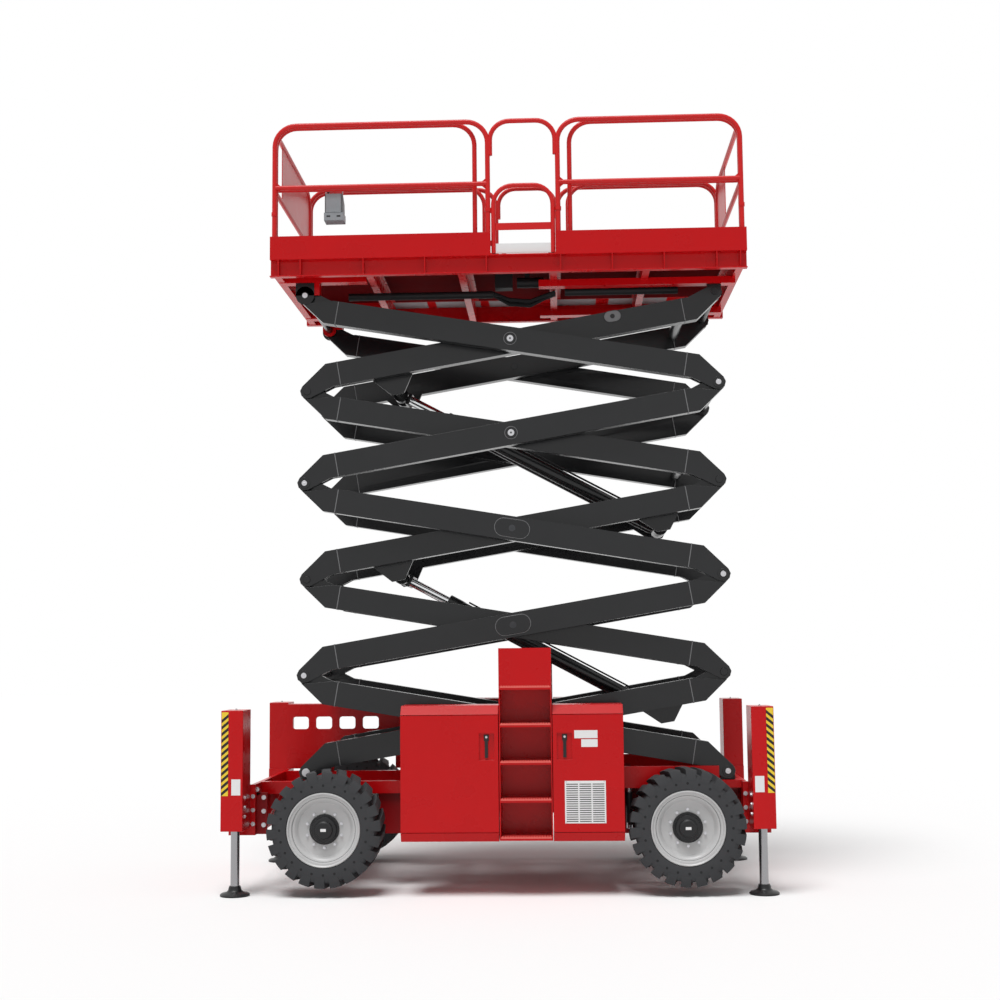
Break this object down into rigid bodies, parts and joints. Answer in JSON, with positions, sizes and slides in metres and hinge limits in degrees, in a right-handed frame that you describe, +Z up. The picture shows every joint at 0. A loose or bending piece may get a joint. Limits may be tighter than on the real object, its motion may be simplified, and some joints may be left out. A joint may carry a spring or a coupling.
{
  "type": "scissor lift",
  "caption": "Rough-terrain scissor lift on four wheels, raised on its levelling jacks, with an extending railed platform.",
  "frame": {"origin": "on the ground under the middle of the machine's overall box", "axes": "+X along the machine, towards the end with the rear axle; +Y across it, away from the side with the engine box; +Z up"},
  "size_m": [4.426, 2.28, 6.3581],
  "materials": {
    "red_paint": "gloss",
    "arm_paint": "gloss",
    "black_paint": "satin",
    "pad_plastic": "matte",
    "tyre_rubber": "matte",
    "rim_paint": "satin",
    "chrome_rod": "polished",
    "cast_steel": "rough",
    "box_plastic": "satin"
  },
  "bodies": {
    "chassis": {"chassis_frame": "red_paint", "steer_axle": "black_paint", "rear_axle": "black_paint", "jack_housing_left_near": "red_paint", "jack_housing_left_far": "red_paint", "jack_housing_right_near": "red_paint", "jack_housing_right_far": "red_paint", "side_box_left_near": "red_paint", "side_box_left_far": "red_paint", "side_box_right_near": "red_paint", "side_box_right_far": "red_paint", "ladder_near": "red_paint", "ladder_far": "red_paint", "wheel_guard": "red_paint", "engine_block": "cast_steel"},
    "knuckle_near": {"steer_knuckle_near": "cast_steel"},
    "knuckle_far": {"steer_knuckle_far": "cast_steel"},
    "wheel_steer_near": {"tyre_steer_near": "tyre_rubber", "rim_steer_near": "rim_paint"},
    "wheel_steer_far": {"tyre_steer_far": "tyre_rubber", "rim_steer_far": "rim_paint"},
    "wheel_rear_near": {"tyre_rear_near": "tyre_rubber", "rim_rear_near": "rim_paint"},
    "wheel_rear_far": {"tyre_rear_far": "tyre_rubber", "rim_rear_far": "rim_paint"},
    "jack_left_near": {"jack_leg_left_near": "chrome_rod"},
    "jack_left_far": {"jack_leg_left_far": "chrome_rod"},
    "jack_right_near": {"jack_leg_right_near": "chrome_rod"},
    "jack_right_far": {"jack_leg_right_far": "chrome_rod"},
    "door_left_near": {"box_door_left_near": "red_paint"},
    "door_left_far": {"box_door_left_far": "red_paint"},
    "door_right_near": {"box_door_right_near": "red_paint"},
    "door_right_far": {"box_door_right_far": "red_paint"},
    "inner_1": {"inner_arms_1": "arm_paint"},
    "outer_1": {"outer_arms_1": "arm_paint"},
    "inner_2": {"inner_arms_2": "arm_paint"},
    "outer_2": {"outer_arms_2": "arm_paint"},
    "inner_3": {"inner_arms_3": "arm_paint"},
    "outer_3": {"outer_arms_3": "arm_paint"},
    "inner_4": {"inner_arms_4": "arm_paint"},
    "outer_4": {"outer_arms_4": "arm_paint"},
    "inner_5": {"inner_arms_5": "arm_paint"},
    "outer_5": {"outer_arms_5": "arm_paint"},
    "lower_slide": {"lower_slide_pads": "pad_plastic"},
    "upper_slide": {"upper_slide_pads": "pad_plastic"},
    "lower_barrels": {"lower_cylinder_barrels": "black_paint"},
    "lower_rods": {"lower_cylinder_rods": "chrome_rod"},
    "upper_barrels": {"upper_cylinder_barrels": "black_paint"},
    "upper_rods": {"upper_cylinder_rods": "chrome_rod"},
    "platform": {"platform_deck": "red_paint", "guard_rail_near": "red_paint", "guard_rail_far": "red_paint"},
    "gate_near": {"gate_near": "red_paint"},
    "gate_far": {"gate_far": "red_paint"},
    "extension_left": {"extension_left": "red_paint", "control_box": "box_plastic"},
    "extension_right": {"extension_right": "red_paint"}
  },
  "joints": [
    {"name": "lift", "type": "hinge", "parent": "chassis", "child": "inner_1", "pos_m": [-1.594, 0, 0.934], "axis": [0, -1, 0], "range_deg": [-9.5, 42]},
    {"name": "crossing_1", "type": "hinge", "parent": "inner_1", "child": "outer_1", "pos_m": [0.13551, 0, 1.33329], "axis": [0, -1, 0], "range_deg": [-84.2, 19.2]},
    {"name": "fold_right_1", "type": "hinge", "parent": "inner_1", "child": "inner_2", "pos_m": [1.86501, 0, 1.73258], "axis": [0, -1, 0], "range_deg": [-84.2, 19.2]},
    {"name": "crossing_2", "type": "hinge", "parent": "inner_2", "child": "outer_2", "pos_m": [0.13551, 0, 2.13186], "axis": [0, -1, 0], "range_deg": [-19.2, 84.2]},
    {"name": "fold_left_2", "type": "hinge", "parent": "inner_2", "child": "inner_3", "pos_m": [-1.594, 0, 2.53115], "axis": [0, -1, 0], "range_deg": [-19.2, 84.2]},
    {"name": "crossing_3", "type": "hinge", "parent": "inner_3", "child": "outer_3", "pos_m": [0.13551, 0, 2.93044], "axis": [0, -1, 0], "range_deg": [-84.2, 19.2]},
    {"name": "fold_right_3", "type": "hinge", "parent": "inner_3", "child": "inner_4", "pos_m": [1.86501, 0, 3.32973], "axis": [0, -1, 0], "range_deg": [-84.2, 19.2]},
    {"name": "crossing_4", "type": "hinge", "parent": "inner_4", "child": "outer_4", "pos_m": [0.13551, 0, 3.72902], "axis": [0, -1, 0], "range_deg": [-19.2, 84.2]},
    {"name": "fold_left_4", "type": "hinge", "parent": "inner_4", "child": "inner_5", "pos_m": [-1.594, 0, 4.12831], "axis": [0, -1, 0], "range_deg": [-19.2, 84.2]},
    {"name": "crossing_5", "type": "hinge", "parent": "inner_5", "child": "outer_5", "pos_m": [0.13551, 0, 4.52759], "axis": [0, -1, 0], "range_deg": [-84.2, 19.2]},
    {"name": "platform_pivot", "type": "hinge", "parent": "outer_5", "child": "platform", "pos_m": [-1.594, 0, 4.92688], "axis": [0, -1, 0], "range_deg": [-9.7, 42.2]},
    {"name": "lower_slide_pivot", "type": "hinge", "parent": "outer_1", "child": "lower_slide", "pos_m": [1.86501, 0, 0.934], "axis": [0, -1, 0], "range_deg": [-9.7, 42.2]},
    {"name": "upper_slide_pivot", "type": "hinge", "parent": "inner_5", "child": "upper_slide", "pos_m": [1.86501, 0, 4.92688], "axis": [0, -1, 0], "range_deg": [-42.2, 9.7]},
    {"name": "lower_cylinder_pivot", "type": "hinge", "parent": "inner_1", "child": "lower_barrels", "pos_m": [1.39584, 0, 1.36535], "axis": [0, -1, 0], "range_deg": [-87.98, 20.05]},
    {"name": "upper_cylinder_pivot", "type": "hinge", "parent": "inner_3", "child": "upper_barrels", "pos_m": [1.39584, 0, 2.9625], "axis": [0, -1, 0], "range_deg": [-87.98, 20.05]},
    {"name": "lower_cylinder_stroke", "type": "slide", "parent": "lower_barrels", "child": "lower_rods", "axis": [-0.881, 0, 0.4731], "range_m": [-0.3446, 1.5131]},
    {"name": "upper_cylinder_stroke", "type": "slide", "parent": "upper_barrels", "child": "upper_rods", "axis": [-0.881, 0, 0.4731], "range_m": [-0.3446, 1.5131]},
    {"name": "steering_near", "type": "hinge", "parent": "chassis", "child": "knuckle_near", "pos_m": [-1.362, -0.8, 0.528], "axis": [0, 0, 1], "range_deg": [-30, 30]},
    {"name": "steering_far", "type": "hinge", "parent": "chassis", "child": "knuckle_far", "pos_m": [-1.362, 0.8, 0.528], "axis": [0, 0, 1], "range_deg": [-30.2, 30.2]},
    {"name": "wheel_steer_near", "type": "hinge", "parent": "knuckle_near", "child": "wheel_steer_near", "pos_m": [-1.362, -0.962, 0.528], "axis": [0, 1, 0], "continuous": true},
    {"name": "wheel_steer_far", "type": "hinge", "parent": "knuckle_far", "child": "wheel_steer_far", "pos_m": [-1.362, 0.962, 0.528], "axis": [0, 1, 0], "continuous": true},
    {"name": "wheel_rear_near", "type": "hinge", "parent": "chassis", "child": "wheel_rear_near", "pos_m": [1.498, -0.962, 0.528], "axis": [0, 1, 0], "continuous": true},
    {"name": "wheel_rear_far", "type": "hinge", "parent": "chassis", "child": "wheel_rear_far", "pos_m": [1.498, 0.962, 0.528], "axis": [0, 1, 0], "continuous": true},
    {"name": "jack_left_near", "type": "slide", "parent": "chassis", "child": "jack_left_near", "axis": [0, 0, 1], "range_m": [-0.15, 0.3]},
    {"name": "jack_left_far", "type": "slide", "parent": "chassis", "child": "jack_left_far", "axis": [0, 0, 1], "range_m": [-0.15, 0.3]},
    {"name": "jack_right_near", "type": "slide", "parent": "chassis", "child": "jack_right_near", "axis": [0, 0, 1], "range_m": [-0.15, 0.3]},
    {"name": "jack_right_far", "type": "slide", "parent": "chassis", "child": "jack_right_far", "axis": [0, 0, 1], "range_m": [-0.15, 0.3]},
    {"name": "door_left_near", "type": "hinge", "parent": "chassis", "child": "door_left_near", "pos_m": [-0.742, -1.122, 0.958], "axis": [0, 0, 1], "range_deg": [-90, 0]},
    {"name": "door_right_near", "type": "hinge", "parent": "chassis", "child": "door_right_near", "pos_m": [0.996, -1.122, 0.958], "axis": [0, 0, 1], "range_deg": [0, 90]},
    {"name": "door_left_far", "type": "hinge", "parent": "chassis", "child": "door_left_far", "pos_m": [-0.742, 1.122, 0.958], "axis": [0, 0, 1], "range_deg": [0, 90]},
    {"name": "door_right_far", "type": "hinge", "parent": "chassis", "child": "door_right_far", "pos_m": [0.996, 1.122, 0.958], "axis": [0, 0, 1], "range_deg": [-90, 0]},
    {"name": "gate_near", "type": "hinge", "parent": "platform", "child": "gate_near", "pos_m": [-0.01351, -0.8775, 5.43188], "axis": [0, 0, 1], "range_deg": [0, 90]},
    {"name": "gate_far", "type": "hinge", "parent": "platform", "child": "gate_far", "pos_m": [-0.01351, 0.8775, 5.43188], "axis": [0, 0, 1], "range_deg": [-90, 0]},
    {"name": "extension_left", "type": "slide", "parent": "platform", "child": "extension_left", "axis": [-1, 0, 0], "range_m": [0, 1.2]},
    {"name": "extension_right", "type": "slide", "parent": "platform", "child": "extension_right", "axis": [1, 0, 0], "range_m": [0, 1]}
  ],
  "couplings": [
    {"joint": "crossing_1", "follows": "lift", "ratio": -2},
    {"joint": "fold_right_1", "follows": "lift", "ratio": -2},
    {"joint": "crossing_2", "follows": "lift", "ratio": 2},
    {"joint": "fold_left_2", "follows": "lift", "ratio": 2},
    {"joint": "crossing_3", "follows": "lift", "ratio": -2},
    {"joint": "fold_right_3", "follows": "lift", "ratio": -2},
    {"joint": "crossing_4", "follows": "lift", "ratio": 2},
    {"joint": "fold_left_4", "follows": "lift", "ratio": 2},
    {"joint": "crossing_5", "follows": "lift", "ratio": -2},
    {"joint": "platform_pivot", "follows": "lift", "ratio": 1},
    {"joint": "lower_slide_pivot", "follows": "lift", "ratio": 1},
    {"joint": "upper_slide_pivot", "follows": "lift", "ratio": -1},
    {"joint": "lower_cylinder_pivot", "follows": "lift", "ratio": -2.09},
    {"joint": "upper_cylinder_pivot", "follows": "lift", "ratio": -2.09},
    {"joint": "lower_cylinder_stroke", "follows": "lift", "m_per_rad": 2.06},
    {"joint": "upper_cylinder_stroke", "follows": "lift", "m_per_rad": 2.06},
    {"joint": "steering_far", "follows": "steering_near", "ratio": 1}
  ]
}
